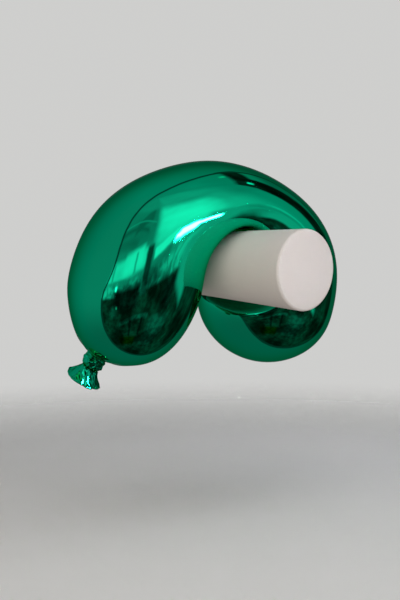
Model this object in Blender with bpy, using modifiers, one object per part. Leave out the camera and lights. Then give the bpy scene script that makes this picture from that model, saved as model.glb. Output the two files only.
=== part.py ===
"""A wall hook: a polished green balloon bent over a tapered peg.

Metres, +Z up. The wall is the plane Y = 0 and the room lies toward -Y. The origin is where the
peg's axis meets the wall.
"""

import math

import bmesh
import bpy
import numpy as np
from mathutils import Matrix, Vector

COLLECTION = "balloon_wall_hook"
GAP = 0.0003  # kept between two pieces that touch
ROUND_STEPS = 40  # sides of a large turned piece
SMALL_STEPS = 24  # sides of a small turned piece

# Wall plate, with its middle on the peg's axis
PLATE_RADIUS = 0.0168
PLATE_THICKNESS = 0.005
SCREW_HOLE_RADIUS = 0.0019
SCREW_HEAD_RADIUS = 0.0034
SCREW_HOLE_OFFSET = 0.0122

# Stud, washer and nut that carry the peg, all on its axis
STUD_RADIUS = 0.004
STUD_SEAT = 0.0018  # the stud's end, in its blind hole, from the wall
STUD_REACH = 0.042
WASHER_RADIUS = 0.0068
WASHER_THICKNESS = 0.0016
NUT_ACROSS_FLATS = 0.0115
NUT_THICKNESS = 0.005

# Peg, a cone that is widest at its front face
PEG_LENGTH = 0.1179
PEG_FRONT_RADIUS = 0.0224
PEG_WALL_RADIUS = 0.0163
PEG_EDGE = 0.0014  # rounding of the front edge
NUT_POCKET_RADIUS = 0.0085
NUT_POCKET_DEPTH = 0.0085
INSERT_RADIUS = 0.0058
INSERT_LENGTH = 0.020
SLEEVE_START = 0.011
SLEEVE_END = 0.027
SLEEVE_THICKNESS = 0.0012

# Balloon: the centre line is an arch over the peg, then a tail that turns to the neck
NECK_HALF_WIDTH = 0.0515
ROUND_HALF_WIDTH = 0.0481
ARCH_RISE = 0.0407
ARCH_CENTRE_X = -0.0006
ARCH_CENTRE_Z = -0.0083
NECK_SIDE_ANGLE = 72.2  # degrees from the crown to where the tail starts
ROUND_SIDE_ANGLE = 111.1  # degrees from the crown to where the round end starts
CROWN_OUT = 0.0392  # the crown's centre line, out from the wall
CROWN_HEIGHT_RADIUS = 0.0273
CROWN_DEPTH_RADIUS = 0.0387
NECK_LOBE_RADIUS = 0.0379
ROUND_LOBE_RADIUS = 0.0412
SWELL = 1.89  # how late the arch swells from the crown into its lobes
ROUND_END_LENGTH = 0.0374
WALL_CLEARANCE = 0.0015  # between the lobes' backs and the wall
SKIN = 0.002

# Crook: the room that the balloon leaves for the peg. It opens away below the peg toward the front
PEG_CLEARANCE = 0.0015
CROOK_SOFTNESS = 0.0021  # rounding of the crook's edge
CROOK_OPENING = 0.0056
CROOK_START = 0.0159  # from the wall, where the crook starts to open
CROOK_END = 0.075
CROOK_SIDE = -113.1  # degrees from +X toward +Z, the side to which the crook opens
DENT_REACH = 0.006  # how far from the crook the skin is stretched by it
DENT_PASSES = 6
DENT_SOFTNESS = 0.0002

# Tied neck, on the lower left of the balloon
NECK_BASE = Vector((-0.0676, -0.0222, -0.0487))
NECK_DIRECTION = Vector((-0.23, 0.51, -0.83)).normalized()
NECK_RADIUS = 0.0056
KNOT_RADIUS = 0.0060
KNOT_LENGTH = 0.0085
WAIST_RADIUS = 0.0050  # the crease between the knot and the mouth
PIN_INSIDE = 0.008  # how far the neck pin reaches into the shell
PIN_OUTSIDE = 0.004
MOUTH_RIM_RADIUS = 0.0102
MOUTH_LENGTH = 0.0082
MOUTH_WALL = 0.0009
LIP_RADIUS = 0.0008
TAIL_FULLNESS = 2.16
TAIL_START_PULL = 0.62
TAIL_END_PULL = 0.386

BUMPER_RADIUS = 0.006
ROUND_BUMPER_ANGLE = 95.0  # degrees from the crown


def clear_scene():
    for item in list(bpy.data.objects):
        bpy.data.objects.remove(item, do_unlink=True)


def new_collection(name):
    collection = bpy.data.collections.new(name)
    bpy.context.scene.collection.children.link(collection)
    return collection


def material(name, colour, roughness, metallic=0.0):
    made = bpy.data.materials.new(name)
    made.use_nodes = True
    shader = made.node_tree.nodes["Principled BSDF"]
    shader.inputs["Base Color"].default_value = (*colour, 1.0)
    shader.inputs["Roughness"].default_value = roughness
    shader.inputs["Metallic"].default_value = metallic
    return made


def add_mesh(name, mesh, look, place=None):
    """An object of this mesh, smooth where it is round, in the hook's collection."""
    thing = bpy.data.objects.new(name, mesh)
    bpy.data.collections[COLLECTION].objects.link(thing)
    mesh.materials.append(look)
    mesh.shade_smooth()
    mesh.set_sharp_from_angle(angle=math.radians(35))
    if place is not None:
        thing.matrix_world = place
    return thing


def mesh_of(name, geometry):
    mesh = bpy.data.meshes.new(name)
    geometry.normal_update()
    geometry.to_mesh(mesh)
    geometry.free()
    return mesh


def along(start, direction):
    """A frame at start whose local Z runs along direction."""
    turn = direction.to_track_quat("Z", "Y")
    return Matrix.Translation(start) @ turn.to_matrix().to_4x4()


def turned(name, profile, look, place, steps=ROUND_STEPS, closed=False):
    """A solid of revolution about local Z. The profile holds (radius, height) points, top to bottom."""
    mesh = bpy.data.meshes.new(name)
    edges = [(i, i + 1) for i in range(len(profile) - 1)]
    if closed:
        edges.append((len(profile) - 1, 0))
    mesh.from_pydata([(r, 0.0, h) for r, h in profile], edges, [])
    thing = add_mesh(name, mesh, look, place)
    screw = thing.modifiers.new("Turn", "SCREW")
    screw.steps = steps
    screw.render_steps = steps
    screw.use_merge_vertices = True
    screw.merge_threshold = 0.00001
    return thing


def cutter(name, mesh, place):
    """A hidden solid that a Boolean takes away."""
    thing = bpy.data.objects.new(name, mesh)
    bpy.data.collections["cutters"].objects.link(thing)
    thing.matrix_world = place
    thing.hide_render = True
    thing.display_type = "WIRE"
    return thing


def cut(thing, tool):
    boolean = thing.modifiers.new("Cut " + tool.name, "BOOLEAN")
    boolean.operation = "DIFFERENCE"
    boolean.object = tool


def cone_mesh(name, low_radius, high_radius, height, sides=SMALL_STEPS):
    """A cylinder or cone that stands on local Z = 0."""
    geometry = bmesh.new()
    bmesh.ops.create_cone(
        geometry,
        cap_ends=True,
        segments=sides,
        radius1=low_radius,
        radius2=high_radius,
        depth=height,
        matrix=Matrix.Translation((0.0, 0.0, height / 2)),
    )
    return mesh_of(name, geometry)


def on_axis(distance):
    """A frame on the peg's axis at this distance from the wall, with local Z toward the room."""
    return along(Vector((0.0, -distance, 0.0)), Vector((0.0, -1.0, 0.0)))


def peg_radius(distance):
    """The peg's outer radius at this distance from the wall. It takes numbers and arrays."""
    return PEG_WALL_RADIUS + (PEG_FRONT_RADIUS - PEG_WALL_RADIUS) * distance / PEG_LENGTH


def arc(centre, radius, start, end, count):
    """Points (radius, height) on an arc in a profile, with its angles in degrees."""
    found = []
    for i in range(count + 1):
        angle = math.radians(start + (end - start) * i / count)
        found.append((centre[0] + radius * math.cos(angle), centre[1] + radius * math.sin(angle)))
    return found


def wall_plate(look):
    """A round steel plate with two countersunk screw holes and a blind hole for the stud."""
    edge = 0.0006
    past = 0.001  # how far a cutter stands out past the face it cuts
    profile = [
        (0.0, PLATE_THICKNESS),
        (PLATE_RADIUS - edge, PLATE_THICKNESS),
        (PLATE_RADIUS, PLATE_THICKNESS - edge),
        (PLATE_RADIUS, 0.0),
        (0.0, 0.0),
    ]
    plate = turned("wall_plate", profile, look, on_axis(0.0))
    radius = STUD_RADIUS + GAP
    bore = cone_mesh("stud_bore", radius, radius, PLATE_THICKNESS - STUD_SEAT + past)
    cut(plate, cutter("stud_bore", bore, on_axis(STUD_SEAT)))
    for side, name in ((1, "upper"), (-1, "lower")):
        lift = Matrix.Translation((0.0, 0.0, side * SCREW_HOLE_OFFSET))
        hole = cone_mesh(name + "_hole", SCREW_HOLE_RADIUS, SCREW_HOLE_RADIUS, PLATE_THICKNESS + 2 * past)
        cut(plate, cutter(name + "_hole", hole, lift @ on_axis(-past)))
        depth = SCREW_HEAD_RADIUS - SCREW_HOLE_RADIUS
        head = cone_mesh(name + "_sink", SCREW_HOLE_RADIUS, SCREW_HEAD_RADIUS + past, depth + past)
        cut(plate, cutter(name + "_sink", head, lift @ on_axis(PLATE_THICKNESS - depth)))
    return plate


def peg_stud(look):
    """The threaded stud that carries the peg, with chamfered ends."""
    start = STUD_SEAT + GAP
    tip = 0.0008
    profile = [
        (0.0, STUD_REACH),
        (STUD_RADIUS - tip, STUD_REACH),
        (STUD_RADIUS, STUD_REACH - tip),
        (STUD_RADIUS, start + tip),
        (STUD_RADIUS - tip, start),
        (0.0, start),
    ]
    return turned("peg_stud", profile, look, on_axis(0.0), SMALL_STEPS)


def lock_washer(look):
    """A split spring washer under the nut."""
    inner = STUD_RADIUS + GAP
    profile = [
        (inner, WASHER_THICKNESS),
        (WASHER_RADIUS, WASHER_THICKNESS),
        (WASHER_RADIUS, 0.0),
        (inner, 0.0),
    ]
    place = on_axis(PLATE_THICKNESS + GAP)
    washer = turned("lock_washer", profile, look, place, SMALL_STEPS, closed=True)
    slot_width = 0.0012
    geometry = bmesh.new()
    bmesh.ops.create_cube(geometry, size=1.0)
    scale = Matrix.Diagonal((WASHER_RADIUS * 2, slot_width, WASHER_THICKNESS * 3, 1.0))
    shift = Matrix.Translation((WASHER_RADIUS, 0.0, 0.0))
    slant = Matrix.Rotation(math.radians(20), 4, "X")
    bmesh.ops.transform(geometry, matrix=shift @ slant @ scale, verts=geometry.verts)
    cut(washer, cutter("washer_slot", mesh_of("washer_slot", geometry), place))
    return washer


def jam_nut(look):
    """The hexagon nut that locks the stud to the plate."""
    start = PLATE_THICKNESS + WASHER_THICKNESS + 2 * GAP
    corner = NUT_ACROSS_FLATS / math.sqrt(3)
    nut = add_mesh("jam_nut", cone_mesh("jam_nut", corner, corner, NUT_THICKNESS, 6), look, on_axis(start))
    bore = cone_mesh("nut_bore", STUD_RADIUS + GAP, STUD_RADIUS + GAP, NUT_THICKNESS * 2)
    cut(nut, cutter("nut_bore", bore, on_axis(start - NUT_THICKNESS / 2)))
    return nut


def peg(look):
    """The tapered peg, with a pocket for the nut, a bore for the insert and a groove for the sleeve."""
    back = PLATE_THICKNESS + GAP
    bore = INSERT_RADIUS + GAP
    bore_end = back + NUT_POCKET_DEPTH + INSERT_LENGTH + 2 * GAP
    drill_tip = bore_end + 0.012
    front = (PEG_FRONT_RADIUS - PEG_EDGE, PEG_LENGTH - PEG_EDGE)
    profile = [(0.0, PEG_LENGTH)]
    profile += arc(front, PEG_EDGE, 90, 0, 5)
    for distance, depth in (
        (SLEEVE_END + GAP, 0.0),
        (SLEEVE_END + GAP, SLEEVE_THICKNESS),
        (SLEEVE_START - GAP, SLEEVE_THICKNESS),
        (SLEEVE_START - GAP, 0.0),
        (back, 0.0),
    ):
        profile.append((peg_radius(distance) - depth, distance))
    profile += [
        (NUT_POCKET_RADIUS, back),
        (NUT_POCKET_RADIUS, back + NUT_POCKET_DEPTH),
        (bore, back + NUT_POCKET_DEPTH),
        (bore, bore_end),
        (STUD_RADIUS + GAP, bore_end),
        (STUD_RADIUS + GAP, drill_tip),
        (0.0, drill_tip + STUD_RADIUS / 2),
    ]
    return turned("peg", profile, look, on_axis(0.0))


def peg_insert(look):
    """The brass insert that the stud screws into, with a shallow groove round its middle."""
    inner = STUD_RADIUS + GAP
    outer = INSERT_RADIUS
    middle = INSERT_LENGTH / 2
    groove = 0.0006
    profile = [
        (inner, INSERT_LENGTH),
        (outer, INSERT_LENGTH),
        (outer, middle + 2 * groove),
        (outer - groove, middle + groove),
        (outer - groove, middle - groove),
        (outer, middle - 2 * groove),
        (outer, 0.0),
        (inner, 0.0),
    ]
    start = PLATE_THICKNESS + NUT_POCKET_DEPTH + 2 * GAP
    return turned("peg_insert", profile, look, on_axis(start), SMALL_STEPS, closed=True)


def peg_sleeve(look):
    """The soft sleeve in the peg's groove, which the balloon's crook sits on."""
    proud = GAP / 2  # how far it stands out of the groove
    depth = SLEEVE_THICKNESS - GAP
    profile = [
        (peg_radius(SLEEVE_END) + proud - depth, SLEEVE_END),
        (peg_radius(SLEEVE_END) + proud, SLEEVE_END),
        (peg_radius(SLEEVE_START) + proud, SLEEVE_START),
        (peg_radius(SLEEVE_START) + proud - depth, SLEEVE_START),
    ]
    return turned("peg_sleeve", profile, look, on_axis(0.0), closed=True)


def arch_side(angle):
    """(crown share, lobe radius, half width) of the arch on this angle's side. The neck side is negative."""
    if angle < 0:
        reach = -angle / math.radians(NECK_SIDE_ANGLE)
        lobe, half_width = NECK_LOBE_RADIUS, NECK_HALF_WIDTH
    else:
        reach = angle / (math.pi / 2)
        lobe, half_width = ROUND_LOBE_RADIUS, ROUND_HALF_WIDTH
    swell = math.sin(min(reach, 1.0) * math.pi / 2) ** (2 * SWELL)
    return 1.0 - swell, lobe, half_width


def arch_section(angle):
    """The centre, direction and two radii of the balloon's section at this angle from the crown."""
    crown, lobe, half_width = arch_side(angle)
    out = lobe + (CROWN_OUT - lobe) * crown + WALL_CLEARANCE
    centre = Vector(
        (
            ARCH_CENTRE_X + half_width * math.sin(angle),
            -out,
            ARCH_CENTRE_Z + ARCH_RISE * math.cos(angle),
        )
    )
    direction = Vector((half_width * math.cos(angle), 0.0, -ARCH_RISE * math.sin(angle)))
    height = lobe + (CROWN_HEIGHT_RADIUS - lobe) * crown
    depth = lobe + (CROWN_DEPTH_RADIUS - lobe) * crown
    return centre, direction.normalized(), height, depth


def bezier(points, t):
    """(point, direction) on a cubic Bezier curve."""
    a, b, c, d = points
    s = 1.0 - t
    point = a * s**3 + b * (3 * s * s * t) + c * (3 * s * t * t) + d * t**3
    direction = (b - a) * (s * s) + (c - b) * (2 * s * t) + (d - c) * (t * t)
    return point, direction.normalized()


def ring(centre, direction, height, depth, sides):
    """Points of an ellipse across the centre line. It starts on the outside of the arch."""
    outward = Vector((0.0, 1.0, 0.0)).cross(direction).normalized()
    wallward = direction.cross(outward)
    found = []
    for i in range(sides):
        angle = 2 * math.pi * i / sides
        found.append(centre + outward * height * math.cos(angle) + wallward * depth * math.sin(angle))
    return found


def crook(distance):
    """(middle, radius) of the room for the peg at this distance from the wall."""
    share = min(max((distance - CROOK_START) / (CROOK_END - CROOK_START), 0.0), 1.0)
    opening = CROOK_OPENING * share * share * (3.0 - 2.0 * share)
    side = math.radians(CROOK_SIDE)
    middle = Vector((opening * math.cos(side), -distance, opening * math.sin(side)))
    return middle, peg_radius(distance) + PEG_CLEARANCE + opening


def clear_of_peg(point, softness):
    """The point, pushed out of the crook where it would be in it."""
    middle, radius = crook(-point.y)
    arm = point - middle
    pressed = radius + softness * float(np.logaddexp(0.0, (arm.length - radius) / softness))
    return middle + arm * (pressed / arm.length)


def balloon_rings(sides, tail_count, arch_count, end_count):
    """Rings of points over the whole balloon, from the open neck to just before the round end's pole."""
    found = []
    neck_side = -math.radians(NECK_SIDE_ANGLE)
    start, away, height, depth = arch_section(neck_side)
    length = (NECK_BASE - start).length
    tail = (
        start,
        start - away * length * TAIL_START_PULL,
        NECK_BASE - NECK_DIRECTION * length * TAIL_END_PULL,
        NECK_BASE,
    )
    for i in range(tail_count, 0, -1):
        share = math.sin(math.pi / 2 * i / tail_count)
        centre, direction = bezier(tail, share)
        fullness = max(0.0, 1.0 - share**TAIL_FULLNESS) ** (1.0 / TAIL_FULLNESS)
        radii = [((radius * fullness) ** 3 + NECK_RADIUS**3) ** (1 / 3) for radius in (height, depth)]
        found.append(ring(centre, -direction, *radii, sides))
    round_side = math.radians(ROUND_SIDE_ANGLE)
    for i in range(arch_count):
        angle = neck_side + (round_side - neck_side) * i / (arch_count - 1)
        found.append(ring(*arch_section(angle), sides))
    centre, direction, height, depth = arch_section(round_side)
    for i in range(1, end_count):
        angle = math.pi / 2 * i / end_count
        middle = centre + direction * ROUND_END_LENGTH * math.sin(angle)
        found.append(ring(middle, direction, height * math.cos(angle), depth * math.cos(angle), sides))
    return found, centre + direction * ROUND_END_LENGTH


def relax_dent(geometry):
    """Spreads the points of the dent evenly, as a stretched skin would, and keeps them off the peg."""
    dent = []
    for vert in geometry.verts:
        middle, radius = crook(-vert.co.y)
        if (vert.co - middle).length < radius + DENT_REACH:
            dent.append(vert)
    for _ in range(DENT_PASSES):
        bmesh.ops.smooth_vert(
            geometry, verts=dent, factor=0.5, use_axis_x=True, use_axis_y=True, use_axis_z=True
        )
        for vert in dent:
            vert.co = clear_of_peg(vert.co, DENT_SOFTNESS)


def balloon_shell(look):
    """The balloon's skin, open at the neck. Its crook is pressed to the shape of the peg."""
    sides = 34
    rings, pole = balloon_rings(sides, tail_count=12, arch_count=30, end_count=9)
    geometry = bmesh.new()
    rows = [[geometry.verts.new(clear_of_peg(point, CROOK_SOFTNESS)) for point in row] for row in rings]
    for low, high in zip(rows, rows[1:]):
        for i in range(sides):
            j = (i + 1) % sides
            geometry.faces.new((low[i], low[j], high[j], high[i]))
    tip = geometry.verts.new(pole)
    for i in range(sides):
        geometry.faces.new((rows[-1][i], rows[-1][(i + 1) % sides], tip))
    bmesh.ops.recalc_face_normals(geometry, faces=geometry.faces)
    relax_dent(geometry)
    shell = add_mesh("balloon_shell", mesh_of("balloon_shell", geometry), look)
    skin = shell.modifiers.new("Skin", "SOLIDIFY")
    skin.thickness = SKIN
    skin.offset = -1.0
    return shell


def neck_pin(look):
    """The pin inside the neck, which joins the knot to the shell."""
    radius = NECK_RADIUS - SKIN - 2 * GAP
    profile = [(0.0, PIN_OUTSIDE), (radius, PIN_OUTSIDE), (radius, -PIN_INSIDE), (0.0, -PIN_INSIDE)]
    return turned("neck_pin", profile, look, along(NECK_BASE, NECK_DIRECTION), SMALL_STEPS)


def knot(look):
    """The bunched bulb of the knot, hollow where it takes the neck pin."""
    socket = NECK_RADIUS - SKIN - GAP
    socket_end = PIN_OUTSIDE + 2 * GAP
    outline = ((0.92, 0.94), (1.0, 0.72), (1.0, 0.50), (0.90, 0.34), (0.80, 0.22), (0.97, 0.10))
    profile = [(0.0, KNOT_LENGTH), (WAIST_RADIUS - GAP, KNOT_LENGTH)]
    profile += [(KNOT_RADIUS * wide, KNOT_LENGTH * high) for wide, high in outline]
    profile += [(NECK_RADIUS, GAP), (socket, GAP), (socket, socket_end), (0.0, socket_end)]
    return turned("knot", profile, look, along(NECK_BASE, NECK_DIRECTION), SMALL_STEPS)


def mouth(look):
    """The flared mouth past the knot, a thin cup that opens away from the balloon."""
    start = KNOT_LENGTH + GAP
    flare = MOUTH_RIM_RADIUS - WAIST_RADIUS
    floor = start + 2 * MOUTH_WALL
    profile = [(0.0, floor), (WAIST_RADIUS - MOUTH_WALL, floor)]
    profile.append((WAIST_RADIUS + flare * 0.5 - MOUTH_WALL, start + MOUTH_LENGTH * 0.6))
    profile += [(MOUTH_RIM_RADIUS - MOUTH_WALL, start + MOUTH_LENGTH), (MOUTH_RIM_RADIUS, start + MOUTH_LENGTH)]
    for share in (0.5, 0.2):
        profile.append((WAIST_RADIUS + flare * share, start + MOUTH_LENGTH * (share + 0.05)))
    profile += [(WAIST_RADIUS, start), (0.0, start)]
    return turned("mouth", profile, look, along(NECK_BASE, NECK_DIRECTION), SMALL_STEPS)


def mouth_lip(look):
    """The rolled bead round the mouth's rim."""
    height = KNOT_LENGTH + MOUTH_LENGTH + 2 * GAP + LIP_RADIUS
    middle = (MOUTH_RIM_RADIUS - LIP_RADIUS * 0.6, height)
    sides = 8
    profile = arc(middle, LIP_RADIUS, 90, -270 + 360 / sides, sides - 1)
    return turned("mouth_lip", profile, look, along(NECK_BASE, NECK_DIRECTION), SMALL_STEPS, closed=True)


def bumper(name, angle, look):
    """A thin soft disc between a lobe's back and the wall."""
    centre = arch_section(math.radians(angle))[0]
    thickness = WALL_CLEARANCE - GAP
    mesh = cone_mesh(name, BUMPER_RADIUS, BUMPER_RADIUS, thickness)
    return add_mesh(name, mesh, look, along(Vector((centre.x, 0.0, centre.z)), Vector((0.0, -1.0, 0.0))))


def pivot(name, pieces):
    """An empty on the peg's axis that carries these pieces."""
    empty = bpy.data.objects.new(name, None)
    bpy.data.collections[COLLECTION].objects.link(empty)
    for piece in pieces:
        piece.parent = empty


def build():
    clear_scene()
    new_collection(COLLECTION)
    new_collection("cutters").hide_render = True
    green = material("green_mirror_plating", (0.0, 0.42, 0.24), 0.05, 1.0)
    cream = material("off_white_lacquer", (0.62, 0.59, 0.56), 0.55)
    steel = material("zinc_plated_steel", (0.55, 0.55, 0.56), 0.35, 1.0)
    brass = material("brass", (0.72, 0.52, 0.22), 0.3, 1.0)
    rubber = material("grey_silicone", (0.25, 0.25, 0.25), 0.7)
    wall_plate(steel)
    peg_stud(steel)
    lock_washer(steel)
    jam_nut(steel)
    pivot("peg_turn", [peg(cream), peg_insert(brass), peg_sleeve(rubber)])
    balloon = [
        balloon_shell(green),
        neck_pin(steel),
        knot(green),
        mouth(green),
        mouth_lip(green),
        bumper("bumper_neck_side", -NECK_SIDE_ANGLE, rubber),
        bumper("bumper_round_side", ROUND_BUMPER_ANGLE, rubber),
    ]
    pivot("balloon_turn", balloon)


build()
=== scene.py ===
"""The looks of the balloon wall hook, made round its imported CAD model. Metres, +Z up, -Y into the room."""

import math

import bmesh
import bpy
import numpy as np
from mathutils import Matrix, Vector

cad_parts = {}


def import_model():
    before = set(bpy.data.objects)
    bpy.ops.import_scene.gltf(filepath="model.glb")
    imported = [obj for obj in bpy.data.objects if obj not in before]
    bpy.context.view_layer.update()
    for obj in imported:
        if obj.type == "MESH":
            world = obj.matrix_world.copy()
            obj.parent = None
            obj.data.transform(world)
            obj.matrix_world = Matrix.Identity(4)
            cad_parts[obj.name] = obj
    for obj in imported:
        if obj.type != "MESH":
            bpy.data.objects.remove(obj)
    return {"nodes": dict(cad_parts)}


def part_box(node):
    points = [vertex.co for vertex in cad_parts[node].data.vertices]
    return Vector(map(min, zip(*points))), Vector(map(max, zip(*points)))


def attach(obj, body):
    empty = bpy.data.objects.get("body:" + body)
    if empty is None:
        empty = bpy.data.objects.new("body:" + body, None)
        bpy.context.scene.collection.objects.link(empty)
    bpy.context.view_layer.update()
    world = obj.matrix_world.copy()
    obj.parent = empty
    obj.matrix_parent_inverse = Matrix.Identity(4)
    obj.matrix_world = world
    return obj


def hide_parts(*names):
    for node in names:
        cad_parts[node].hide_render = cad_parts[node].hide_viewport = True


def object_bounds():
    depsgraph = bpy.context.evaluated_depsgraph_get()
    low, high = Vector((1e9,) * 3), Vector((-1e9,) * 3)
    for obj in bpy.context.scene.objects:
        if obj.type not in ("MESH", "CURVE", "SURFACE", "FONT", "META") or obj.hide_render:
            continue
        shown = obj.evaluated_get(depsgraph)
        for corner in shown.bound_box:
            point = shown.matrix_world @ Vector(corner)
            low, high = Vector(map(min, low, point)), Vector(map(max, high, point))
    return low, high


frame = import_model()
cad_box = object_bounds()

# Camera: where it stands round the peg's middle, and how far it aims below and beside it
CAMERA_AZIMUTH = -43.2
CAMERA_ELEVATION = 3.5
CAMERA_DISTANCE = 0.9
CAMERA_LENS = 93.1
AIM_POINT = Vector((0.0, -0.038, 0.0))
AIM_LEFT = 0.0032
AIM_DOWN = 0.0211

# Balloon, as in the CAD model. Angles are in degrees.
NECK_HALF_WIDTH = 0.0515
ROUND_HALF_WIDTH = 0.0481
ARCH_RISE = 0.0407
ARCH_CENTRE_X = -0.0006
ARCH_CENTRE_Z = -0.0083
NECK_SIDE_ANGLE = 72.2
ROUND_SIDE_ANGLE = 111.1
CROWN_OUT = 0.0392
CROWN_HEIGHT_RADIUS = 0.0273
CROWN_DEPTH_RADIUS = 0.0387
NECK_LOBE_RADIUS = 0.0379
ROUND_LOBE_RADIUS = 0.0412
SWELL = 1.89
ROUND_END_LENGTH = 0.0374
WALL_CLEARANCE = 0.0015
PEG_CLEARANCE = 0.0015
CROOK_SOFTNESS = 0.0021
CROOK_OPENING = 0.0056
CROOK_START = 0.0159
CROOK_END = 0.075
CROOK_SIDE = -113.1
NECK_BASE = Vector((-0.0676, -0.0222, -0.0487))
NECK_DIRECTION = Vector((-0.23, 0.51, -0.83)).normalized()
NECK_RADIUS = 0.0056
TAIL_FULLNESS = 2.16
TAIL_START_PULL = 0.62
TAIL_END_PULL = 0.386
TAIL_SECTIONS = 90
ARCH_SECTIONS = 150
END_SECTIONS = 60
TAIL_JOIN_REACH = 40  # sections either side of the join that are faired
SECTION_PASSES = 40
BACK_PASSES = 150
BALLOON_SIDES = 180

# Peg and its sleeve
PEG_FRONT_RADIUS = 0.0224
PEG_WALL_RADIUS = 0.0163
PEG_EDGE = 0.0014
PEG_LENGTH = -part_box("peg")[0].y
PEG_PLACE = Matrix.Rotation(math.radians(90), 4, "X")
SLEEVE_START = 0.011
SLEEVE_END = 0.027
SLEEVE_DEPTH = 0.0012
RIB_DEPTH = 0.0004
PIECE_GAP = 0.0003

# Knot and mouth
KNOT_LENGTH = 0.0085
WAIST_RADIUS = 0.0050
MOUTH_LENGTH = 0.0082
MOUTH_RIM_RADIUS = 0.0102
KNOT_RADIUS = 0.0060
LIP_RADIUS = 0.0006
MOUTH_FOLDS = 5

THREAD_PITCH = 0.00125
FLOOR_DROP = 0.07  # from the hook's lowest point to the floor
FLOOR_RADIUS = 0.55

# Gathered skin at the neck
PLEATS = 17
PLEAT_DEPTH = 0.05
PLEAT_REACH = 0.007
CRUMPLE_WAVES = 6
NECK_SIDES = 144


# ---------------------------------------------------------------- meshes


def mesh_piece(name, rows, look, loop=False, sharp=None):
    """A piece lofted through rings of points. A loop joins its last ring to its first, and any other
    piece closes both with a fan. Edges that turn by more than sharp degrees stay sharp."""
    geometry = bmesh.new()
    made = [[geometry.verts.new(point) for point in row] for row in rows]
    sides = len(rows[0])
    if loop:
        made.append(made[0])
    for low, high in zip(made, made[1:]):
        for i in range(sides):
            j = (i + 1) % sides
            geometry.faces.new((low[i], low[j], high[j], high[i]))
    if not loop:
        for ring in (made[0], made[-1]):
            tip = geometry.verts.new(sum((v.co for v in ring), Vector()) / sides)
            for i in range(sides):
                geometry.faces.new((ring[i], ring[(i + 1) % sides], tip))
    bmesh.ops.recalc_face_normals(geometry, faces=geometry.faces)
    mesh = bpy.data.meshes.new(name)
    geometry.to_mesh(mesh)
    geometry.free()
    mesh.materials.append(look)
    mesh.shade_smooth()
    if sharp is not None:
        mesh.set_sharp_from_angle(angle=math.radians(sharp))
    piece = bpy.data.objects.new(name, mesh)
    bpy.context.scene.collection.objects.link(piece)
    return piece


def turned_rows(profile, sides, place):
    """Rings of points about local Z for a profile of (radius, height) points."""
    turn = np.linspace(0, 2 * math.pi, sides, endpoint=False)
    return [[place @ Vector((r * math.cos(a), r * math.sin(a), h)) for a in turn] for r, h in profile]


def along(start, direction):
    """A frame at start whose local Z runs along direction."""
    return Matrix.Translation(start) @ direction.to_track_quat("Z", "Y").to_matrix().to_4x4()


def stands_for(piece, body, node):
    """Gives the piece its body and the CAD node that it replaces."""
    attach(piece, body)
    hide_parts(node)
    return piece


# ---------------------------------------------------------------- balloon


def arch_side(angle):
    """(swell from crown to lobe, lobe radius, half width) on this angle's side. The neck side is negative."""
    if angle < 0:
        reach = -angle / math.radians(NECK_SIDE_ANGLE)
        lobe, half_width = NECK_LOBE_RADIUS, NECK_HALF_WIDTH
    else:
        reach = angle / (math.pi / 2)
        lobe, half_width = ROUND_LOBE_RADIUS, ROUND_HALF_WIDTH
    return math.sin(min(reach, 1.0) * math.pi / 2) ** (2 * SWELL), lobe, half_width


def arch_section(angle):
    """(centre, direction, height radius, depth radius) at this angle from the crown, as one row."""
    swell, lobe, half_width = arch_side(angle)
    out = CROWN_OUT + (lobe - CROWN_OUT) * swell + WALL_CLEARANCE
    centre = (
        ARCH_CENTRE_X + half_width * math.sin(angle),
        -out,
        ARCH_CENTRE_Z + ARCH_RISE * math.cos(angle),
    )
    direction = np.array((half_width * math.cos(angle), 0.0, -ARCH_RISE * math.sin(angle)))
    direction /= np.linalg.norm(direction)
    height = CROWN_HEIGHT_RADIUS + (lobe - CROWN_HEIGHT_RADIUS) * swell
    depth = CROWN_DEPTH_RADIUS + (lobe - CROWN_DEPTH_RADIUS) * swell
    return np.array([*centre, *direction, height, depth])


def tail_section(share, start):
    """A section of the tail: share 0 is where it leaves the arch, and 1 is the neck."""
    begin = start[:3]
    away = -start[3:6]
    base = np.array(NECK_BASE)
    length = np.linalg.norm(base - begin)
    a, d = begin, base
    b = begin + away * length * TAIL_START_PULL
    c = base - np.array(NECK_DIRECTION) * length * TAIL_END_PULL
    rest = 1.0 - share
    centre = a * rest**3 + 3 * b * rest**2 * share + 3 * c * rest * share**2 + d * share**3
    direction = (b - a) * rest**2 + 2 * (c - b) * rest * share + (d - c) * share**2
    direction /= -np.linalg.norm(direction)
    fullness = max(0.0, 1.0 - share**TAIL_FULLNESS) ** (1.0 / TAIL_FULLNESS)
    radii = ((start[6:8] * fullness) ** 3 + NECK_RADIUS**3) ** (1 / 3)
    return np.array([*centre, *direction, *radii])


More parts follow.
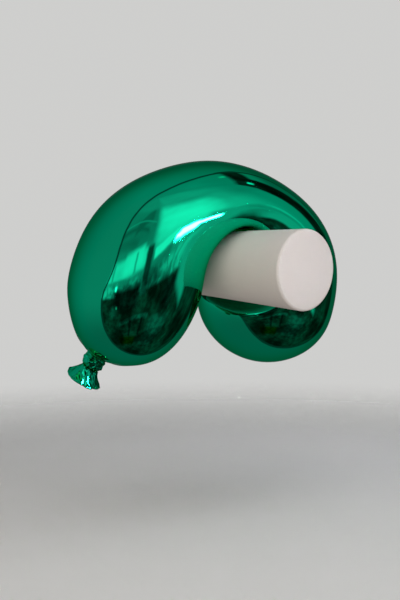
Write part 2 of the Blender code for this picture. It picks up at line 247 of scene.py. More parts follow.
def balloon_sections():
    """Sections over the whole balloon, neck first, with the joins between its stretches faired."""
    neck_side = -math.radians(NECK_SIDE_ANGLE)
    round_side = math.radians(ROUND_SIDE_ANGLE)
    start = arch_section(neck_side)
    steps = [math.sin(math.pi / 2 * i / TAIL_SECTIONS) for i in range(TAIL_SECTIONS, 0, -1)]
    rows = [tail_section(share, start) for share in steps]
    rows += [arch_section(angle) for angle in np.linspace(neck_side, round_side, ARCH_SECTIONS)]
    last = rows[-1]
    for i in range(1, END_SECTIONS):
        angle = math.pi / 2 * i / END_SECTIONS
        centre = last[:3] + last[3:6] * ROUND_END_LENGTH * math.sin(angle)
        rows.append(np.array([*centre, *last[3:6], *(last[6:8] * math.cos(angle))]))
    rows = np.array(rows)
    fade = np.ones(len(rows))
    ramp = 25
    fade[:ramp] = np.linspace(0, 1, ramp)
    fade[-ramp:] = np.linspace(1, 0, ramp)
    for _ in range(SECTION_PASSES):
        even = rows.copy()
        even[1:-1] = (rows[:-2] + 2 * rows[1:-1] + rows[2:]) / 4
        rows += (even - rows) * fade[:, None]
    return rows


def peg_radius(out):
    """The peg's radius at this distance from the wall."""
    return PEG_WALL_RADIUS + (PEG_FRONT_RADIUS - PEG_WALL_RADIUS) * out / PEG_LENGTH


def press_to_peg(points):
    """Pushes the skin out of the crook, the room for the peg that opens away below it."""
    out = -points[..., 1]
    share = np.clip((out - CROOK_START) / (CROOK_END - CROOK_START), 0.0, 1.0)
    opening = CROOK_OPENING * share * share * (3.0 - 2.0 * share)
    side = math.radians(CROOK_SIDE)
    middle = np.stack([opening * math.cos(side), -out, opening * math.sin(side)], axis=-1)
    radius = peg_radius(out) + PEG_CLEARANCE + opening
    arm = points - middle
    reach = np.linalg.norm(arm, axis=-1)
    pressed = radius + CROOK_SOFTNESS * np.logaddexp(0.0, (reach - radius) / CROOK_SOFTNESS)
    return middle + arm * (pressed / reach)[..., None]


def fair_back(points, turn):
    """Evens out the skin behind the place where the tail leaves the arch."""
    rows = np.arange(len(points))
    near = np.clip(1.5 - np.abs(rows - TAIL_SECTIONS) / TAIL_JOIN_REACH, 0.0, 1.0)
    behind = np.clip(0.5 + 1.5 * np.sin(turn), 0.0, 1.0)
    share = (near[:, None] * behind[None, :])[..., None]
    for _ in range(BACK_PASSES):
        even = points.copy()
        even[1:-1] = (points[:-2] + 2 * points[1:-1] + points[2:]) / 4
        points = points + (even - points) * share
    return points


def balloon(look):
    """The balloon's mirror skin, pressed to the peg, with fine pleats where it is gathered into the neck."""
    sections = balloon_sections()
    turn = np.linspace(0, 2 * math.pi, BALLOON_SIDES, endpoint=False)
    centre, direction = sections[:, :3], sections[:, 3:6]
    outward = np.cross([0.0, 1.0, 0.0], direction)
    outward /= np.linalg.norm(outward, axis=1)[:, None]
    wallward = np.cross(direction, outward)
    pleats = 1.0 + pleat_heights(turn, PLEATS, 4) * gather_share(centre)[:, None]
    height, depth = sections[:, 6:7] * pleats, sections[:, 7:8] * pleats
    points = centre[:, None, :]
    points = points + outward[:, None, :] * (height * np.cos(turn))[..., None]
    points = points + wallward[:, None, :] * (depth * np.sin(turn))[..., None]
    points = press_to_peg(fair_back(points, turn))
    piece = mesh_piece("balloon_skin", points, look)
    return stands_for(piece, "balloon", "balloon_shell")


# ---------------------------------------------------------------- neck


def pleat_heights(turn, count, seed):
    """Heights from -1 to 1 of this many uneven sharp pleats round a ring, at these angles."""
    chance = np.random.default_rng(seed)
    widths = chance.uniform(0.55, 1.45, count)
    edges = np.concatenate([[0.0], np.cumsum(widths / widths.sum())]) * 2 * math.pi
    which = np.clip(np.searchsorted(edges, turn % (2 * math.pi), side="right") - 1, 0, count - 1)
    place = (turn % (2 * math.pi) - edges[which]) / (edges[which + 1] - edges[which])
    crest = chance.uniform(0.3, 0.7, count)[which]
    rise = np.where(place < crest, place / crest, (1.0 - place) / (1.0 - crest))
    return (2.0 * rise - 1.0) * chance.uniform(0.5, 1.0, count)[which]


def gather_share(centres):
    """How far the skin is gathered, from 1 at the neck to 0 well away from it."""
    away = np.linalg.norm(centres - np.array(NECK_BASE), axis=1)
    return PLEAT_DEPTH * np.exp(-((away / PLEAT_REACH) ** 2))


def crumple(turn, level, seed):
    """A smooth uneven height round and along a crushed tube, about -1 to 1."""
    chance = np.random.default_rng(seed)
    total = np.zeros(np.broadcast(turn, level).shape)
    for _ in range(CRUMPLE_WAVES):
        around = chance.integers(2, 8)
        upward = chance.uniform(-7.0, 7.0)
        wave = np.sin(around * turn + upward * level + chance.uniform(0, 2 * math.pi))
        total += (1.0 - 2.0 * np.abs(wave)) * chance.uniform(0.3, 1.0)
    return total / CRUMPLE_WAVES * 2.0


def neck_rows(profile, folds, fold_depths, crush, twist, seed):
    """Rings of a gathered tube about the neck's axis, with its folds twisted along it."""
    place = along(NECK_BASE, NECK_DIRECTION)
    turn = np.linspace(0, 2 * math.pi, NECK_SIDES, endpoint=False)
    rows = []
    for (radius, height), fold_depth in zip(profile, fold_depths):
        level = height / KNOT_LENGTH
        swell = pleat_heights(turn + twist * level, folds, seed) * fold_depth
        swell = swell + crumple(turn, level, seed + 1) * crush
        rise = crumple(turn, 0.3 * level, seed + 2) * crush * 0.5
        rows.append(
            [
                place @ Vector(((radius + w) * math.cos(a), (radius + w) * math.sin(a), height + z))
                for a, w, z in zip(turn, swell, rise)
            ]
        )
    return rows


def finer(profile, steps):
    """The same profile with this many steps for each one."""
    found = []
    for (r0, h0), (r1, h1) in zip(profile, profile[1:]):
        found += [(r0 + (r1 - r0) * i / steps, h0 + (h1 - h0) * i / steps) for i in range(steps)]
    return found + [profile[-1]]


def knot_folds(look):
    """The knot: a bunched bulb of crushed skin between two creases."""
    outline = ((0.36, 0.04), (0.92, 0.05), (1.04, 0.10), (1.02, 0.17), (0.88, 0.24), (0.87, 0.30))
    outline += ((0.98, 0.38), (1.05, 0.48), (1.06, 0.60), (1.04, 0.72), (0.99, 0.83), (0.92, 0.91))
    outline += ((0.84, 0.96), (0.78, 0.995), (0.36, 1.0))
    profile = finer([(KNOT_RADIUS * wide, KNOT_LENGTH * high) for wide, high in outline], 4)
    depths = [0.0006] * len(profile)
    rows = neck_rows(profile, folds=8, fold_depths=depths, crush=0.0006, twist=1.1, seed=21)
    piece = mesh_piece("knot_folds", rows, look, sharp=50)
    return stands_for(piece, "balloon", "knot")


def mouth_fold_depth(radius):
    """The folds are deeper where the skirt is wider."""
    return 0.0004 + 0.06 * max(0.0, radius - WAIST_RADIUS)


def mouth_flare(look):
    """The flared mouth past the knot: a thin pleated skirt whose rim waves a little."""
    start = KNOT_LENGTH + PIECE_GAP
    flare = MOUTH_RIM_RADIUS - WAIST_RADIUS
    outside = ((-0.6, 0.0), (-0.10, 0.0), (0.02, 0.03), (0.03, 0.10), (0.14, 0.24), (0.32, 0.42))
    outside += ((0.52, 0.60), (0.74, 0.78), (0.90, 0.91), (1.0, 1.0))
    inside = ((0.92, 1.0), (0.80, 0.88), (0.62, 0.74), (0.38, 0.56), (0.16, 0.40))
    inside += ((-0.10, 0.30), (-0.6, 0.28))
    profile = [(WAIST_RADIUS + flare * wide, start + MOUTH_LENGTH * high) for wide, high in outside + inside]
    fine = finer(profile, 4)
    depths = [mouth_fold_depth(radius) for radius, _ in fine]
    rows = neck_rows(fine, folds=MOUTH_FOLDS, fold_depths=depths, crush=0.0004, twist=0.25, seed=5)
    piece = mesh_piece("mouth_flare", rows, look, sharp=50)
    return stands_for(piece, "balloon", "mouth")


def rolled_lip(look):
    """The thin rolled bead that follows the mouth's wavy rim."""
    start = KNOT_LENGTH + PIECE_GAP + MOUTH_LENGTH
    profile = [(MOUTH_RIM_RADIUS - PIECE_GAP, start)]
    depths = [mouth_fold_depth(MOUTH_RIM_RADIUS)]
    rim = neck_rows(profile, folds=MOUTH_FOLDS, fold_depths=depths, crush=0.0004, twist=0.25, seed=5)[0]
    axis = NECK_DIRECTION
    rows = []
    for point in rim:
        away = point - NECK_BASE
        outward = (away - axis * away.dot(axis)).normalized()
        angles = [2 * math.pi * i / 12 for i in range(12)]
        rows.append([point + (outward * math.cos(a) + axis * math.sin(a)) * LIP_RADIUS for a in angles])
    piece = mesh_piece("rolled_lip", rows, look, loop=True)
    return stands_for(piece, "balloon", "mouth_lip")


# ---------------------------------------------------------------- peg


def turned_peg(look):
    """The lacquered peg, with its rounded front edge and the groove that its sleeve sits in. Unlike the
    CAD peg it is solid at the back, with no pocket for the nut and no bore for the insert and stud."""
    back = -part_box("peg")[1].y
    start, end = SLEEVE_START - PIECE_GAP, SLEEVE_END + PIECE_GAP
    profile = [(0.002, back), (peg_radius(back), back)]
    for distance, depth in ((start, 0.0), (start, SLEEVE_DEPTH), (end, SLEEVE_DEPTH), (end, 0.0)):
        profile.append((peg_radius(distance) - depth, distance))
    for i in range(1, 9):
        distance = end + (PEG_LENGTH - PEG_EDGE - end) * i / 9
        profile.append((peg_radius(distance), distance))
    for i in range(13):
        angle = math.pi / 2 * i / 12
        radius = PEG_FRONT_RADIUS - PEG_EDGE + PEG_EDGE * math.cos(angle)
        profile.append((radius, PEG_LENGTH - PEG_EDGE + PEG_EDGE * math.sin(angle)))
    profile.append((PEG_FRONT_RADIUS * 0.6, PEG_LENGTH))
    piece = mesh_piece("turned_peg", turned_rows(profile, 160, PEG_PLACE), look, sharp=40)
    return stands_for(piece, "peg", "peg")


def ribbed_sleeve(look):
    """The soft sleeve in the peg's groove, with shallow ribs that grip the balloon's crook."""
    ribs = 8
    steps = 10 * ribs
    profile = [(peg_radius(SLEEVE_START) - SLEEVE_DEPTH + PIECE_GAP, SLEEVE_START)]
    for i in range(steps + 1):
        share = i / steps
        distance = SLEEVE_START + (SLEEVE_END - SLEEVE_START) * share
        rib = RIB_DEPTH * (0.5 + 0.5 * math.cos(2 * math.pi * ribs * share))
        profile.append((peg_radius(distance) + PIECE_GAP / 2 - rib, distance))
    profile.append((peg_radius(SLEEVE_END) - SLEEVE_DEPTH + PIECE_GAP, SLEEVE_END))
    piece = mesh_piece("ribbed_sleeve", turned_rows(profile, 96, PEG_PLACE), look, loop=True, sharp=50)
    return stands_for(piece, "peg", "peg_sleeve")


def soft_pad(name, node, look):
    """A bumper: a soft disc with a rounded edge and a shallow dish in its face."""
    low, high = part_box(node)
    middle = (low + high) / 2
    radius = (high.x - low.x) / 2
    thickness = high.y - low.y
    round_edge = thickness * 0.45
    profile = [(radius * 0.1, 0.0), (radius - round_edge, 0.0)]
    for i in range(1, 9):
        angle = math.pi * i / 9
        outward = radius - round_edge + round_edge * math.sin(angle)
        profile.append((outward, thickness / 2 - thickness / 2 * math.cos(angle)))
    dish = thickness * 0.75
    profile += [(radius - round_edge, thickness), (radius * 0.72, thickness)]
    profile += [(radius * 0.62, dish), (radius * 0.1, dish)]
    place = along(Vector((middle.x, high.y, middle.z)), Vector((0.0, -1.0, 0.0)))
    piece = mesh_piece(name, turned_rows(profile, 48, place), look, sharp=60)
    return stands_for(piece, "balloon", node)


# ---------------------------------------------------------------- materials


def smooth_step(tree, value, low, high):
    """0 below low, 1 above high, and a smooth rise between them."""
    step = tree.nodes.new("ShaderNodeMapRange")
    step.interpolation_type = "SMOOTHSTEP"
    step.inputs["From Min"].default_value = low
    step.inputs["From Max"].default_value = high
    tree.links.new(value, step.inputs["Value"])
    return step.outputs["Result"]


def calculate(tree, operation, *values):
    """A Math node. Each value is a number or another node's output."""
    node = tree.nodes.new("ShaderNodeMath")
    node.operation = operation
    for socket, value in zip(node.inputs, values):
        if isinstance(value, (int, float)):
            socket.default_value = value
        else:
            tree.links.new(value, socket)
    return node.outputs["Value"]


def blend_colour(tree, share, under, over):
    """A colour that goes from under to over as share goes from 0 to 1."""
    node = tree.nodes.new("ShaderNodeMix")
    node.data_type = "RGBA"
    for name, value in (("Factor", share), ("A", under), ("B", over)):
        socket = [s for s in node.inputs if s.name == name and s.enabled][0]
        if isinstance(value, (int, float, tuple)):
            socket.default_value = value
        else:
            tree.links.new(value, socket)
    return [s for s in node.outputs if s.enabled][0]


def window(tree, value, low, high, soft):
    """1 between low and high, fading to 0 outside them."""
    rise = smooth_step(tree, value, low - soft, low + soft)
    fall = smooth_step(tree, value, high - soft, high + soft)
    return calculate(tree, "SUBTRACT", rise, fall)


def new_material(name):
    """(material, node tree, shader, place) of a new material. The place is in metres on the object."""
    made = bpy.data.materials.new(name)
    made.use_nodes = True
    tree = made.node_tree
    place = tree.nodes.new("ShaderNodeTexCoord").outputs["Object"]
    return made, tree, tree.nodes["Principled BSDF"], place


def noise(tree, place, size, detail=2.0, stretch=(1.0, 1.0, 1.0)):
    """Noise from 0 to 1 whose features are about this size, in metres."""
    mapping = tree.nodes.new("ShaderNodeMapping")
    mapping.inputs["Scale"].default_value = stretch
    tree.links.new(place, mapping.inputs["Vector"])
    node = tree.nodes.new("ShaderNodeTexNoise")
    node.inputs["Scale"].default_value = 1.0 / size
    node.inputs["Detail"].default_value = detail
    tree.links.new(mapping.outputs["Vector"], node.inputs["Vector"])
    return node.outputs["Fac"]


def vary(tree, value, low, high):
    """A value of mostly 0.3 to 0.7, stretched to run from low to high."""
    node = tree.nodes.new("ShaderNodeMapRange")
    node.inputs["From Min"].default_value = 0.3
    node.inputs["From Max"].default_value = 0.7
    node.inputs["To Min"].default_value = low
    node.inputs["To Max"].default_value = high
    tree.links.new(value, node.inputs["Value"])
    return node.outputs["Result"]


def raise_surface(tree, shader, height, distance):
    """Bumps the surface by up to this distance, in metres."""
    node = tree.nodes.new("ShaderNodeBump")
    node.inputs["Distance"].default_value = distance
    tree.links.new(height, node.inputs["Height"])
    tree.links.new(node.outputs["Normal"], shader.inputs["Normal"])


def colour_between(tree, shader, share, one, other):
    """Gives the shader a colour that goes from one to the other as share goes from 0 to 1."""
    colour = blend_colour(tree, share, (*one, 1.0), (*other, 1.0))
    tree.links.new(colour, shader.inputs["Base Color"])


def green_mirror():
    """Polished green plating, with faint waves and cloudy patches in its gloss."""
    made, tree, shader, place = new_material("green_mirror_plating")
    shader.inputs["Metallic"].default_value = 1.0
    shader.inputs["Specular Tint"].default_value = (0.12, 0.66, 0.42, 1.0)
    colour_between(tree, shader, noise(tree, place, 0.03), (0.0040, 0.58, 0.295), (0.0052, 0.63, 0.335))
    tree.links.new(vary(tree, noise(tree, place, 0.012, 4.0), 0.02, 0.05), shader.inputs["Roughness"])
    raise_surface(tree, shader, noise(tree, place, 0.014), 0.00006)
    return made


def lacquer():
    """Matt lacquer over turned wood: fine pores, faint turning rings and slightly uneven colour."""
    made, tree, shader, place = new_material("off_white_lacquer")
    colour_between(tree, shader, noise(tree, place, 0.012, 4.0), (0.655, 0.628, 0.610), (0.690, 0.662, 0.640))
    tree.links.new(vary(tree, noise(tree, place, 0.004, 3.0), 0.48, 0.60), shader.inputs["Roughness"])
    pores = noise(tree, place, 0.0009, 3.0, stretch=(1.0, 0.25, 1.0))
    rings = noise(tree, place, 0.0016, 1.0, stretch=(0.02, 1.0, 0.02))
    height = calculate(tree, "ADD", pores, calculate(tree, "MULTIPLY", rings, 0.5))
    raise_surface(tree, shader, height, 0.00004)
    return made


def zinc():
    """Bright zinc plating, with cloudy spangle and fine scratches."""
    made, tree, shader, place = new_material("zinc_plated_steel")
    shader.inputs["Metallic"].default_value = 1.0
    spangle = noise(tree, place, 0.0022, 3.0)
    colour_between(tree, shader, spangle, (0.50, 0.52, 0.56), (0.66, 0.65, 0.62))
    scratches = noise(tree, place, 0.0008, 2.0, stretch=(1.0, 1.0, 0.08))
    tree.links.new(vary(tree, scratches, 0.22, 0.42), shader.inputs["Roughness"])
    raise_surface(tree, shader, scratches, 0.00003)
    return made


def threaded_zinc():
    """Zinc plating over a screw thread cut round the peg's axis, with painted shade darkening the thread's
    grooves.
    """
    made, tree, shader, place = new_material("threaded_zinc")
    shader.inputs["Metallic"].default_value = 1.0
    split = tree.nodes.new("ShaderNodeSeparateXYZ")
    tree.links.new(place, split.inputs["Vector"])
    turn = calculate(tree, "ARCTAN2", split.outputs["X"], split.outputs["Z"])
    travel = calculate(tree, "MULTIPLY", split.outputs["Y"], 2 * math.pi / THREAD_PITCH)
    ridge = calculate(tree, "SINE", calculate(tree, "ADD", travel, turn))
    share = calculate(tree, "ADD", calculate(tree, "MULTIPLY", ridge, 0.5), 0.5)
    # Painted shade: the colour darkens in the thread's grooves and lightens on its crests, following the
    # bump's ridge.
    colour_between(tree, shader, share, (0.30, 0.31, 0.33), (0.62, 0.62, 0.62))
    tree.links.new(vary(tree, noise(tree, place, 0.0015, 3.0), 0.25, 0.40), shader.inputs["Roughness"])
    raise_surface(tree, shader, share, 0.0005)
    return made


def brass():
    """Turned brass with fine rings and slight tarnish."""
    made, tree, shader, place = new_material("brass")
    shader.inputs["Metallic"].default_value = 1.0
    colour_between(tree, shader, noise(tree, place, 0.003, 4.0), (0.52, 0.35, 0.12), (0.72, 0.54, 0.24))
    rings = noise(tree, place, 0.0004, 1.0, stretch=(0.02, 1.0, 0.02))
    tree.links.new(vary(tree, rings, 0.20, 0.36), shader.inputs["Roughness"])
    raise_surface(tree, shader, rings, 0.00004)
    return made


def silicone():
    """Soft grey silicone with a fine moulded grain and dusty patches."""
    made, tree, shader, place = new_material("grey_silicone")
    colour_between(tree, shader, noise(tree, place, 0.005, 4.0), (0.090, 0.090, 0.092), (0.125, 0.124, 0.122))
    tree.links.new(vary(tree, noise(tree, place, 0.003, 3.0), 0.55, 0.75), shader.inputs["Roughness"])
    raise_surface(tree, shader, noise(tree, place, 0.0005, 3.0), 0.00005)
    return made


def pale_floor(middle):
    """Pale floor that fades out away from the hook."""
    made, tree, shader, place = new_material("pale_floor")
    shader.inputs["Roughness"].default_value = 0.9
    colour_between(tree, shader, noise(tree, place, 0.05, 3.0), (0.70, 0.70, 0.69), (0.73, 0.73, 0.72))
    centred = tree.nodes.new("ShaderNodeVectorMath")
    centred.operation = "DISTANCE"
    centred.inputs[1].default_value = middle
    tree.links.new(place, centred.inputs[0])
    fade = smooth_step(tree, centred.outputs["Value"], FLOOR_RADIUS, FLOOR_RADIUS * 0.35)
    tree.links.new(fade, shader.inputs["Alpha"])
    return made


def finish_node(node, look):
    """Gives a carried-over CAD node this material."""
    for slot in frame["nodes"][node].material_slots:
        slot.material = look


# ---------------------------------------------------------------- studio


def camera():
    """The scene's camera, aimed a little below and beside the peg."""
    lens = bpy.data.cameras.new("camera")
    lens.lens = CAMERA_LENS
    lens.clip_start = 0.01
    made = bpy.data.objects.new("camera", lens)
    bpy.context.scene.collection.objects.link(made)
    azimuth, elevation = math.radians(CAMERA_AZIMUTH), math.radians(CAMERA_ELEVATION)
    back = Vector(
        (
            math.sin(azimuth) * math.cos(elevation),
            -math.cos(azimuth) * math.cos(elevation),
            math.sin(elevation),
        )
    )
    right = (-back).cross(Vector((0.0, 0.0, 1.0))).normalized()
    up = right.cross(-back)
    made.location = AIM_POINT + back * CAMERA_DISTANCE
    aim = AIM_POINT - right * AIM_LEFT - up * AIM_DOWN
    made.rotation_mode = "QUATERNION"
    made.rotation_quaternion = (aim - made.location).to_track_quat("-Z", "Y")
    bpy.context.scene.camera = made


# The studio as the balloon mirrors it. Later panels cover earlier ones. Each panel: azimuth from and to
# (0 faces the room from the wall, 90 is the right), elevation from and to, how much the panel rises per
# degree of azimuth, how much it bows down at its ends, the softness of its edges, its brightness, and
# how warm it is.
PANELS = (
    ("ceiling", -180, 180, 0, 92, 0.0, 0.0, 2, 0.25, 0.0),
    ("ceiling_left", -100, -19, 29, 70, 0.0, 0.0, 5, 0.19, 0.0),
    ("ceiling_left_arc", -96, -34, 44, 49, 0.25, 0.012, 3, 0.12, 0.0),
    ("ceiling_left_vault", -58, -30, 50, 66, 0.5, 0.020, 3, 0.12, 0.0),
    ("ceiling_left_rim", -84, -24, 55, 57, 0.1, 0.010, 1.5, 0.30, 0.0),
    ("ceiling_left_gap", -98, -48, 31, 37, 0.10, 0.004, 3, 0.15, 0.0),
    ("screen_top", -17, 62, 58, 86, -0.1, 0.0, 12, 0.36, 0.0),
    ("screen", -19, 40, 18, 62, -0.25, 0.003, 7, 0.80, 0.0),
    ("screen_glow", -15, 26, 30, 47, -0.25, 0.004, 5, 0.92, 0.0),
    ("screen_side", 34, 50, 8, 58, 0.0, 0.0, 9, 0.42, 0.0),
    ("left_window", -104, -29, 13.5, 25, 0.06, 0.0, 2.5, 0.72, 0.0),
    ("left_window_glow", -62, -34, 17, 29, 0.10, 0.0, 3, 0.82, 0.0),
    ("left_window_sill", -104, -56, 9.5, 12.5, 0.02, 0.0, 1.5, 0.30, 0.0),
    ("window_bar", -46, -43, 14, 27, 0.0, 0.0, 1.2, 0.40, 0.0),
    ("window_bar_far", -79, -76, 13, 24, 0.0, 0.0, 1.2, 0.38, 0.0),
    ("pillar", -29, -20, -4, 27, 0.0, 0.0, 2, 0.045, 0.0),
    ("shelf", -20, 7, 6, 14, 0.25, 0.0, 3, 0.17, 0.0),
    ("shelf_light", -17, 8, 17.5, 24, 0.10, 0.0, 1.5, 1.05, 0.0),
    ("right_wall", 96, 124, -2, 34, 0.0, 0.0, 4, 0.12, -0.4),
    ("right_beam", 73, 97, 6, 46, 0.0, 0.0, 2.5, 0.012, 0.3),
    ("right_beam_top", 72, 124, 42, 53, 0.0, 0.004, 2, 0.014, 0.3),
    ("desk", -70, -30, -16, 6, 0.0, 0.0, 4, 0.011, 0.2),
    ("desk_light", -74, -64, -22, -10, 0.0, 0.0, 4, 0.055, 0.3),
    ("floor_light", -2, 34, -62, -26, 0.0, 0.010, 5, 0.050, 0.2),
    ("stool", 8, 26, -22, -2, 0.0, 0.0, 3, 0.012, 0.2),
    ("table_top", -58, -8, -30, -24, 0.15, 0.004, 1.5, 0.060, 0.2),
    ("table_leg", -40, -35, -52, -29, 0.0, 0.0, 1.5, 0.008, 0.2),
    ("table_leg_far", -19, -15, -50, -27, 0.0, 0.0, 1.5, 0.008, 0.2),
    ("rug", -64, -20, -68, -52, 0.0, 0.0, 4, 0.035, 2.0),
    ("lamp", -69.5, -66.5, 5, 9, 0.0, 0.0, 1, 1.6, 0.0),
    ("desk_lamp", -65, -62.5, -13, -10, 0.0, 0.0, 1, 0.40, 0.5),
    ("pillar_lamp", -34.8, -33.4, 7, 12, 0.0, 0.0, 0.6, 0.22, 0.0),
    ("beam_lamp", 81, 86, 41.5, 45, 0.0, 0.0, 1, 0.9, 0.2),
    ("beam_lamp_far", 99, 105, 54, 57, -0.2, 0.0, 1, 0.7, 0.6),
)
STRIPS = (
    ("strip", 7, 36, 12.6, 16.8, -0.40, 0.012, 1.6, 1.0, 0.0),
    ("strip_broad", 9, 23, 12.8, 20.5, -0.40, 0.012, 2.4, 1.0, 0.0),
)
STRIP_TAIL = ("strip_tail", 27, 46, -14, 15, -0.7, 0.0, 4, 0.50, 0.0)
STRIP_BRIGHTNESS = 200.0
STRIP_SECOND_HAND = 2.0  # its brightness for light that has left a matt surface
STRIP_FALLOFF = 4.0
STUDIO_LIGHT = 1.42
DARK_ROOM = (0.028, 0.6)  # brightness and warmth where there is no panel
BACKGROUND = (0.62, 0.62, 0.61, 1.0)

# What lights the matt pieces: soft light from the room, most of it from the left, and little from the wall
SOFT_ABOVE = (0.92, 0.95, 0.99, 1.0)
SOFT_BELOW = (0.44, 0.36, 0.31, 1.0)
SOFT_LEFT = (1.62, 1.46, 1.25, 1.0)
SOFT_WALL = (0.18, 0.18, 0.175, 1.0)


def panel_share(tree, azimuth, elevation, panel):
    """1 inside this panel and 0 outside it."""
    _, left, right, low, high, slope, bow, soft, _, _ = panel
    beside = calculate(tree, "SUBTRACT", azimuth, (left + right) / 2)
    rise = calculate(tree, "MULTIPLY", beside, slope)
    droop = calculate(tree, "MULTIPLY", calculate(tree, "MULTIPLY", beside, beside), bow)
    level = calculate(tree, "ADD", calculate(tree, "SUBTRACT", elevation, rise), droop)
    across = window(tree, azimuth, left, right, soft)
    return calculate(tree, "MULTIPLY", across, window(tree, level, low, high, soft))


def panel_colour(brightness, warmth):
    """Grey light of this brightness, redder where warmth is above 0 and bluer below it."""
    return (brightness, brightness * (1 - 0.35 * warmth), brightness * (1 - 0.6 * warmth), 1.0)


def uneven(tree, toward, size, low, high):
    """A smooth uneven factor over the studio, between low and high, with patches of this size in degrees."""
    patches = noise(tree, toward, math.radians(size), 3.0)
    spread = smooth_step(tree, patches, 0.36, 0.64)
    return calculate(tree, "ADD", calculate(tree, "MULTIPLY", spread, high - low), low)


def scaled(tree, colour, factor):
    """The colour times a number from another node."""
    node = tree.nodes.new("ShaderNodeVectorMath")
    node.operation = "SCALE"
    tree.links.new(colour, node.inputs["Vector"])
    tree.links.new(factor, node.inputs["Scale"])
    return node.outputs["Vector"]


def mirrored_wall(tree, colour, x, y, z):
    """The grey wall behind the hook, lighter on the left, with a dark line where it ends."""
    above = smooth_step(tree, z, 0.0, 0.5)
    slant = calculate(tree, "ADD", calculate(tree, "MULTIPLY", x, 0.30), 0.10)
    lean = calculate(tree, "MULTIPLY", slant, above)
    past = calculate(tree, "SUBTRACT", y, lean)
    edge = window(tree, past, -0.02, 0.03, 0.02)
    colour = blend_colour(tree, edge, colour, panel_colour(0.05, 0.0))
    right_side, left_side = panel_colour(0.14, 0.0), panel_colour(0.33, 0.0)
    side = blend_colour(tree, smooth_step(tree, x, 0.7, -1.0), right_side, left_side)
    low = blend_colour(tree, smooth_step(tree, z, 0.1, -0.8), side, panel_colour(0.17, 0.0))
    top = blend_colour(tree, smooth_step(tree, z, 0.4, 1.0), low, panel_colour(0.32, 0.0))
    return blend_colour(tree, smooth_step(tree, past, 0.02, 0.05), colour, top)


def studio(tree, toward, azimuth, elevation):
    """The panels, with patches that are strongest low down and in the dark beam."""
    colour = panel_colour(*DARK_ROOM)
    for panel in PANELS:
        share = panel_share(tree, azimuth, elevation, panel)
        colour = blend_colour(tree, share, colour, panel_colour(*panel[-2:]))
    busy = smooth_step(tree, elevation, 16.0, 6.0)
    for panel in PANELS:
        if panel[0].startswith("right_beam"):
            busy = calculate(tree, "MAXIMUM", busy, panel_share(tree, azimuth, elevation, panel))
    large = uneven(tree, toward, 22.0, 0.35, 1.75)
    small = uneven(tree, toward, 5.0, 0.70, 1.35)
    patches = calculate(tree, "MULTIPLY", large, small)
    quiet = uneven(tree, toward, 30.0, 0.90, 1.10)
    added = calculate(tree, "MULTIPLY", calculate(tree, "SUBTRACT", patches, quiet), busy)
    factor = calculate(tree, "MULTIPLY", calculate(tree, "ADD", added, quiet), STUDIO_LIGHT)
    return scaled(tree, colour, factor)


def with_strips(tree, colour, azimuth, elevation, path):
    """Adds the bright strip. Matt pieces get little of it, so that it leaves no stray bright dots."""
    tail = panel_share(tree, azimuth, elevation, STRIP_TAIL)
    colour = blend_colour(tree, tail, colour, panel_colour(STRIP_TAIL[-2], 0.0))
    direct = calculate(tree, "LESS_THAN", path.outputs["Diffuse Depth"], 0.5)
    weak, strong = panel_colour(STRIP_SECOND_HAND, 0.0), panel_colour(STRIP_BRIGHTNESS, 0.0)
    strip_light = blend_colour(tree, direct, weak, strong)
    for strip in STRIPS:
        share = calculate(tree, "POWER", panel_share(tree, azimuth, elevation, strip), STRIP_FALLOFF)
        colour = blend_colour(tree, share, colour, strip_light)
    return colour


def soft_light(tree, x, y, z):
    """The even light that falls on matt pieces."""
    soft = blend_colour(tree, smooth_step(tree, z, -1.0, 0.5), SOFT_BELOW, SOFT_ABOVE)
    left = calculate(tree, "MULTIPLY", smooth_step(tree, x, -0.2, -1.0), smooth_step(tree, z, -0.6, 0.3))
    soft = blend_colour(tree, left, soft, SOFT_LEFT)
    return blend_colour(tree, smooth_step(tree, y, -0.1, 0.3), soft, SOFT_WALL)


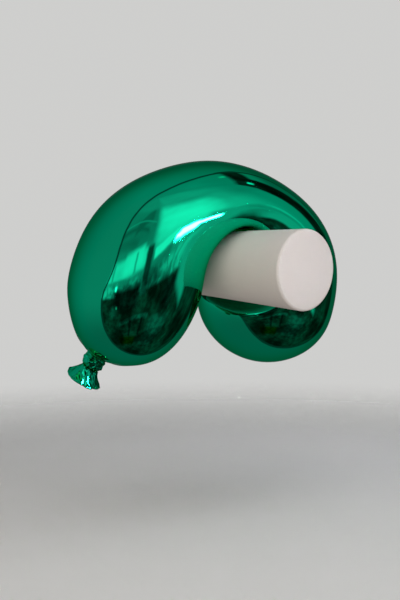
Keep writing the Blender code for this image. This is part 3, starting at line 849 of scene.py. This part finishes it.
def world():
    """A room of soft light panels in front of the hook, over a dark floor, with a grey wall behind it."""
    made = bpy.data.worlds.new("studio")
    bpy.context.scene.world = made
    made.use_nodes = True
    tree = made.node_tree
    toward = tree.nodes.new("ShaderNodeTexCoord").outputs["Generated"]
    split = tree.nodes.new("ShaderNodeSeparateXYZ")
    tree.links.new(toward, split.inputs["Vector"])
    x, y, z = split.outputs
    ahead = calculate(tree, "MULTIPLY", y, -1.0)
    azimuth = calculate(tree, "DEGREES", calculate(tree, "ARCTAN2", x, ahead))
    elevation = calculate(tree, "DEGREES", calculate(tree, "ARCSINE", z))
    path = tree.nodes.new("ShaderNodeLightPath")
    colour = studio(tree, toward, azimuth, elevation)
    colour = mirrored_wall(tree, colour, x, y, z)
    colour = with_strips(tree, colour, azimuth, elevation, path)
    colour = blend_colour(tree, path.outputs["Is Glossy Ray"], soft_light(tree, x, y, z), colour)
    colour = blend_colour(tree, path.outputs["Is Camera Ray"], colour, BACKGROUND)
    tree.links.new(colour, tree.nodes["Background"].inputs["Color"])
    made.cycles.sampling_method = "NONE"


def floor():
    """A plain pale floor under the hook. It takes the hook's shadow, and isn't mirrored in it."""
    middle = Vector((0.0, -0.05, cad_box[0].z - FLOOR_DROP))
    place = Matrix.Translation(middle)
    profile = [(FLOOR_RADIUS, 0.0), (FLOOR_RADIUS, -0.002)]
    made = mesh_piece("floor", turned_rows(profile, 96, place), pale_floor(middle))
    made.visible_glossy = False
    made.visible_diffuse = False


def dress():
    """Makes the visible pieces, hiding the CAD nodes they replace, and gives the remaining listed CAD nodes
    their materials.
    """
    green, rubber, steel = green_mirror(), silicone(), zinc()
    balloon(green)
    knot_folds(green)
    mouth_flare(green)
    rolled_lip(green)
    turned_peg(lacquer())
    ribbed_sleeve(rubber)
    soft_pad("pad_neck_side", "bumper_neck_side", rubber)
    soft_pad("pad_round_side", "bumper_round_side", rubber)
    for node in ("wall_plate", "lock_washer", "jam_nut", "neck_pin"):
        finish_node(node, steel)
    finish_node("peg_stud", threaded_zinc())
    finish_node("peg_insert", brass())


camera()
world()
floor()
dress()
bpy.context.scene.view_settings.view_transform = "Standard"
